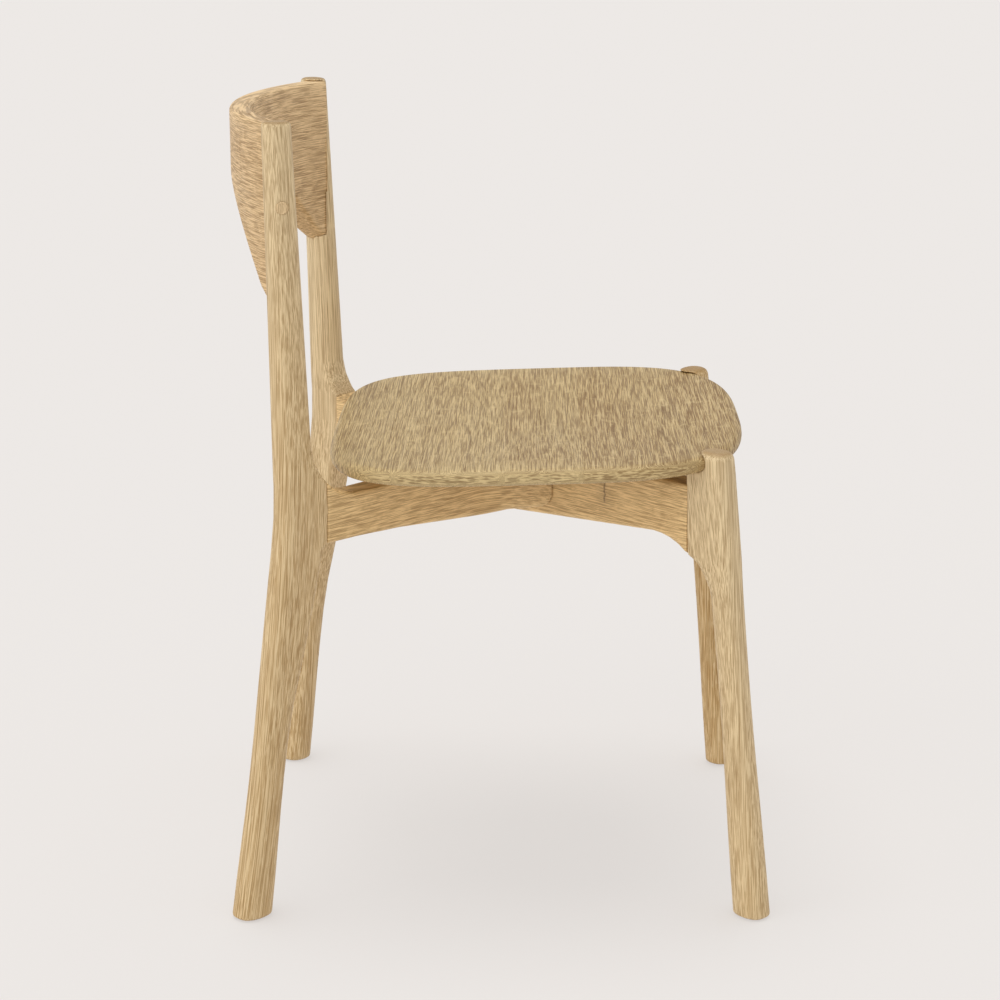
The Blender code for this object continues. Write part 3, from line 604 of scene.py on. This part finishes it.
def beam(node, material, ends, pith, tilt, start):
    """A beam whose fibres run between the dowels at its two ends, where it is pressed up to the legs."""
    mesh = refined(node)
    points = points_of(mesh)
    first, last = (np.array((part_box(end)[0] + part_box(end)[1]) / 2) for end in ends)
    axis = (last - first) / np.linalg.norm(last - first)
    beside = np.array((-axis[1], axis[0], 0.0))
    along = (points - first) @ axis
    for end, side in ((along.min(), -1), (along.max(), 1)):
        points[np.abs(along - end) < VOXEL] += axis * side * JOINT_PRESS
    move_points(mesh, points)
    depth = (points - first) @ beside * SIDE_SHARE + pith[1] + tilt * along
    set_grain(mesh, along + start, points[:, 2] - first[2] + pith[0], depth)
    set_end(mesh, axis)
    set_tone(mesh, np.full(len(points), BEAM_TONE))
    add_piece(f"{node}_wood", mesh, material, "oak", node)


def backrest(material):
    """The bent board, whose fibres follow its curve."""
    mesh = refined("backrest")
    points = points_of(mesh)
    low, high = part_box("backrest")
    reach = high.x
    ends = points[np.abs(points[:, 0]) > reach - 2 * VOXEL]
    bow = high.y - ends[:, 1].max()
    radius = (reach * reach + bow * bow) / (2 * bow)
    hub = high.y - radius
    angle = np.arctan2(points[:, 0], points[:, 1] - hub)
    outward = np.hypot(points[:, 0], points[:, 1] - hub) - radius
    along = radius * angle
    across = points[:, 2] - (low.z + high.z) / 2
    set_grain(mesh, along + BACK_START, across + BACK_PITH[0], outward + BACK_PITH[1] + BACK_TILT * along)
    tone = np.interp(along, (-radius / 2, *BACK_TONE_PLACES, radius / 2), BACK_TONES)
    set_tone(mesh, tone - TOP_BAND_SHARE * np.clip(1 - (high.z - points[:, 2]) / TOP_BAND, 0, 1))
    set_end(mesh, np.stack([np.cos(angle), -np.sin(angle), np.zeros_like(angle)], axis=1))
    add_piece("backrest_wood", mesh, material, "back_oak", "backrest")


# ---------------------------------------------------------------- seat

class SeatShape:
    """The seat board's surface, from the CAD staves' box and the named sizes."""

    def __init__(self):
        boxes = [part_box(f"seat_stave_{k + 1}") for k in range(SEAT_STAVES)]
        self.half_width = max(high.x for low, high in boxes)
        self.front = min(low.y for low, high in boxes)
        self.rear = max(high.y for low, high in boxes)
        glue_lines = [(behind[0].y + ahead[1].y) / 2 for behind, ahead in zip(boxes, boxes[1:])]
        self.ends = list(zip(glue_lines + [self.front], [self.rear] + glue_lines))
        self.widest = self.front + SEAT_WIDEST
        self.level = max(high.z for low, high in boxes) - SEAT_WIDEST * SEAT_SLOPE

    def plane(self, y):
        """The height of the sloping plane that the rim's upper edge lies in."""
        return self.level + (self.widest - y) * SEAT_SLOPE

    def outline_point(self, angle):
        """A point of the plan outline, which is half of one superellipse to the rear and half of another in front."""
        cosine, sine = math.cos(angle), math.sin(angle)
        rear = sine >= 0
        power = 2 / (REAR_SQUARENESS if rear else FRONT_SQUARENESS)
        length = self.rear - self.widest if rear else SEAT_WIDEST
        x = math.copysign(abs(cosine) ** power, cosine) * self.half_width
        return np.array((x, self.widest + math.copysign(abs(sine) ** power, sine) * length))

    def outline(self):
        """Evenly spaced points of the plan outline, and their outward directions."""
        count = OUTLINE_POINTS * OUTLINE_OVERSAMPLING
        dense = np.array([self.outline_point(2 * math.pi * k / count) for k in range(count + 1)])
        lengths = np.concatenate([[0], np.cumsum(np.linalg.norm(np.diff(dense, axis=0), axis=1))])
        targets = lengths[-1] * np.arange(OUTLINE_POINTS) / OUTLINE_POINTS
        edge = np.stack([np.interp(targets, lengths, dense[:, axis]) for axis in (0, 1)], axis=1)
        tangent = np.roll(edge, -1, axis=0) - np.roll(edge, 1, axis=0)
        tangent /= np.linalg.norm(tangent, axis=1)[:, None]
        return edge, np.stack([tangent[:, 1], -tangent[:, 0]], axis=1)

    def top(self, y, share):
        """The dished top, where share runs from 0 at the middle of the board to 1 at its rim."""
        return self.plane(y) - SEAT_DISH * (1 - share * share) ** 2

    def under(self, y, share):
        """The underside: flat in the middle, and rising to the thin rim."""
        rise = eased((share - SEAT_LAND) / (1 - SEAT_LAND))
        return self.plane(y) - SEAT_THICKNESS + (SEAT_THICKNESS - RIM_THICKNESS) * rise

    def nearness(self, points):
        """How near each point is to the outline in plan, from 0 well inside to 1 on it."""
        edge = self.outline()[0]
        gap = np.array([np.hypot(edge[:, 0] - x, edge[:, 1] - y).min() for x, y in points[:, :2]])
        return np.clip(1 - gap / PAINTED_HIGHLIGHT_WIDTH, 0, 1) ** 2

    def rings(self):
        """Closed rings of points from under the middle, round the rim and back to the middle of the top."""
        edge, outward = self.outline()
        middle = np.array((0.0, self.widest))
        radius = RIM_THICKNESS / 2
        inner = edge - outward * radius
        for k in range(1, UNDER_RINGS):
            share = k / UNDER_RINGS
            plan = middle + (inner - middle) * share
            yield np.column_stack([plan, self.under(plan[:, 1], share)])
        for k in range(RIM_STEPS + 1):
            bend = math.radians(-90 + 180 * k / RIM_STEPS)
            plan = edge - outward * (radius - radius * math.cos(bend))
            yield np.column_stack([plan, self.plane(plan[:, 1]) + radius * (math.sin(bend) - 1)])
        for k in range(1, TOP_RINGS):
            share = 1 - k / TOP_RINGS
            plan = middle + (inner - middle) * share
            yield np.column_stack([plan, self.top(plan[:, 1], share)])

    def mesh(self):
        """The whole board as one closed bmesh."""
        made = bmesh.new()
        rows = [[made.verts.new(point) for point in ring] for ring in self.rings()]
        steps = [(k, (k + 1) % OUTLINE_POINTS) for k in range(OUTLINE_POINTS)]
        for low, high in zip(rows, rows[1:]):
            for k, after in steps:
                made.faces.new((low[k], low[after], high[after], high[k]))
        for row, z in ((rows[0], self.under(self.widest, 0.0)), (rows[-1], self.top(self.widest, 0.0))):
            hub = made.verts.new((0.0, self.widest, z))
            for k, after in steps:
                made.faces.new((row[after], row[k], hub) if row is rows[0] else (row[k], row[after], hub))
        return made


def cut_off(board, y, side):
    """Cuts away what lies past y on one side of a board, and closes the cut."""
    geometry = board.verts[:] + board.edges[:] + board.faces[:]
    cut = bmesh.ops.bisect_plane(board, geom=geometry, plane_co=(0, y, 0), plane_no=(0, side, 0), clear_outer=True)
    rim = [item for item in cut["geom_cut"] if isinstance(item, bmesh.types.BMEdge)]
    bmesh.ops.contextual_create(board, geom=rim)


def stave_mesh(board, name, ends, k):
    """The part of the board between two glue lines, or between one of them and the board's own end."""
    low, high = ends[k]
    stave = board.copy()
    if k > 0:
        cut_off(stave, high, 1)
    if k < len(ends) - 1:
        cut_off(stave, low, -1)
    bmesh.ops.recalc_face_normals(stave, faces=stave.faces[:])
    mesh = bpy.data.meshes.new(name)
    stave.to_mesh(mesh)
    stave.free()
    mesh.shade_smooth()
    mesh.set_sharp_from_angle(angle=math.radians(SEAT_SHARP_ANGLE))
    return mesh


def seat(material):
    """The seat board, cut at its glue lines into staves whose figures differ."""
    shape = SeatShape()
    board = shape.mesh()
    for k, (low, high) in enumerate(shape.ends):
        mesh = stave_mesh(board, f"seat_stave_{k + 1}_wood", shape.ends, k)
        across, deep, tilt, start, tone = STAVE_LOGS[k]
        points = points_of(mesh)
        rim = eased((set_end(mesh, X_AXIS) - RIM_FROM) / RIM_BLEND)
        depth = (points[:, 2] - shape.level) * (1 + RIM_FINE * rim) + deep + tilt * points[:, 0]
        beside = (points[:, 1] - (low + high) / 2) * (1 - RIM_DRAW * rim)
        set_grain(mesh, points[:, 0] + start, beside + across, depth)
        # Painted highlight: the tone pales near the outline, most at the sides, where the rounded edge catches the
        # light
        painted_highlight = PAINTED_EDGE_HIGHLIGHT * shape.nearness(points) * np.abs(points[:, 0] / shape.half_width) ** 3
        set_tone(mesh, tone - painted_highlight)
        add_piece(f"seat_stave_{k + 1}_wood", mesh, material, "oak", f"seat_stave_{k + 1}")
    board.free()


# ---------------------------------------------------------------- small parts and assembly

def plug(node, leg_node, material):
    """A plug pressed into its hole and sanded to the face of the post."""
    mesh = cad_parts[node].data.copy()
    mesh.name = f"{node}_wood"
    points = points_of(mesh)
    low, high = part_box(node)
    middle = np.array((low + high) / 2)
    side = math.copysign(1, middle[0])
    spread = 1 + 2 * PLUG_PRESS / np.array((np.inf, high.y - low.y, high.z - low.z))
    points = middle + (points - middle) * spread
    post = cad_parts[leg_node].data
    face = BVHTree.FromPolygons([v.co for v in post.vertices], [tuple(p.vertices) for p in post.polygons])
    outermost = (points[:, 0] * side).max()
    for point in points:
        if point[0] * side > outermost - PLUG_FACE:
            point[0] = face.find_nearest(Vector(point) + Vector((side * PLUG_FACE, 0, 0)))[0].x
    move_points(mesh, points)
    set_grain(mesh, points[:, 2] + PLUG_START, points[:, 1] + PLUG_PITH[0], points[:, 0] + PLUG_PITH[1])
    set_tone(mesh, np.full(len(points), PLUG_TONE))
    set_end(mesh, Z_AXIS)
    add_piece(f"{node}_wood", mesh, material, "oak", node)


def dress_nodes(prefixes, material):
    """Gives carried-over CAD nodes their material."""
    for name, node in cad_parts.items():
        if name.startswith(prefixes):
            node.data.materials.clear()
            node.data.materials.append(material)


def build_chair():
    leg_oak = oak("leg_oak", **LEG_OAK)
    beam_oak = oak("beam_oak", **BEAM_OAK)
    knotty_oak = oak("knotty_oak", **BEAM_OAK, knot=(LOWER_BEAM_START + KNOT_ALONG, KNOT_ACROSS))
    seat_oak = oak("seat_oak", **SEAT_OAK)
    back_oak = oak("back_oak", **BACK_OAK)
    for node, settings in LEGS.items():
        leg(node, leg_oak, *settings)
    beam("cross_beam_upper", beam_oak, *UPPER_BEAM)
    beam("cross_beam_lower", knotty_oak, *LOWER_BEAM)
    backrest(back_oak)
    seat(seat_oak)
    plug_oak = oak("plug_oak", **PLUG_OAK)
    plug("post_plug_right", "rear_leg_right", plug_oak)
    plug("post_plug_left", "rear_leg_left", plug_oak)
    dress_nodes(("rear_dowel", "front_dowel", "back_dowel"), beech("beech_dowel_wood"))
    dress_nodes(("back_screw", "seat_screw", "seat_washer"), zinc("zinc_plate"))
    dress_nodes(("rear_glide", "front_glide"), plastic("glide_moulding"))


# ---------------------------------------------------------------- stage

def add_floor():
    """A pale floor that glows a little, so that its far parts and the sky behind it have one tone."""
    mesh = bpy.data.meshes.new("floor")
    half = FLOOR_SIZE / 2
    mesh.from_pydata([(-half, -half, 0), (half, -half, 0), (half, half, 0), (-half, half, 0)], [], [(0, 1, 2, 3)])
    floor = bpy.data.objects.new("floor", mesh)
    bpy.context.scene.collection.objects.link(floor)
    paint = Shader("floor_paint")
    matt = tuple(channel * (1 - FLOOR_GLOW) / STUDIO_LEVEL for channel in FLOOR_TONE) + (1.0,)
    paint.put(paint.surface.inputs["Emission Color"], (*FLOOR_TONE, 1.0))
    paint.put(paint.surface.inputs["Emission Strength"], FLOOR_GLOW)
    mesh.materials.append(paint.finish(matt, 1.0, specular=0.0))


def add_light():
    """A soft sky and three suns. The camera sees the floor's tone in place of the sky."""
    world = bpy.data.worlds.new("studio")
    bpy.context.scene.world = world
    world.use_nodes = True
    tree = world.node_tree
    sky = tree.nodes["Background"]
    sky.inputs["Color"].default_value = (*SKY_COLOUR, 1.0)
    sky.inputs["Strength"].default_value = SKY_STRENGTH
    wall = tree.nodes.new("ShaderNodeBackground")
    wall.inputs["Color"].default_value = (*FLOOR_TONE, 1.0)
    chosen = tree.nodes.new("ShaderNodeMixShader")
    tree.links.new(tree.nodes.new("ShaderNodeLightPath").outputs["Is Camera Ray"], chosen.inputs[0])
    tree.links.new(sky.outputs[0], chosen.inputs[1])
    tree.links.new(wall.outputs[0], chosen.inputs[2])
    tree.links.new(chosen.outputs[0], tree.nodes["World Output"].inputs["Surface"])
    for name, settings in SUNS.items():
        add_sun(name, *settings)


def add_sun(name, strength, angle, direction):
    """A broad, far light that shines from this direction."""
    light = bpy.data.lights.new(name, "SUN")
    light.color = SUN_COLOUR
    light.energy = strength
    light.angle = math.radians(angle)
    lamp = bpy.data.objects.new(name, light)
    lamp.rotation_mode = "QUATERNION"
    lamp.rotation_quaternion = Vector(direction).to_track_quat("Z", "Y")
    bpy.context.scene.collection.objects.link(lamp)


def add_camera():
    """The camera at the sitter's right, a little above the seat and looking down."""
    data = bpy.data.cameras.new("camera")
    data.lens = CAMERA_LENS
    camera = bpy.data.objects.new("camera", data)
    pitch, yaw = math.radians(CAMERA_PITCH), math.radians(CAMERA_YAW)
    forward = Vector((math.cos(pitch) * math.cos(yaw), math.cos(pitch) * math.sin(yaw), -math.sin(pitch)))
    camera.location = CAMERA_PLACE
    camera.rotation_mode = "QUATERNION"
    camera.rotation_quaternion = forward.to_track_quat("-Z", "Y")
    bpy.context.scene.collection.objects.link(camera)
    bpy.context.scene.camera = camera


build_chair()
add_floor()
add_light()
add_camera()
bpy.context.scene.view_settings.view_transform = "Standard"
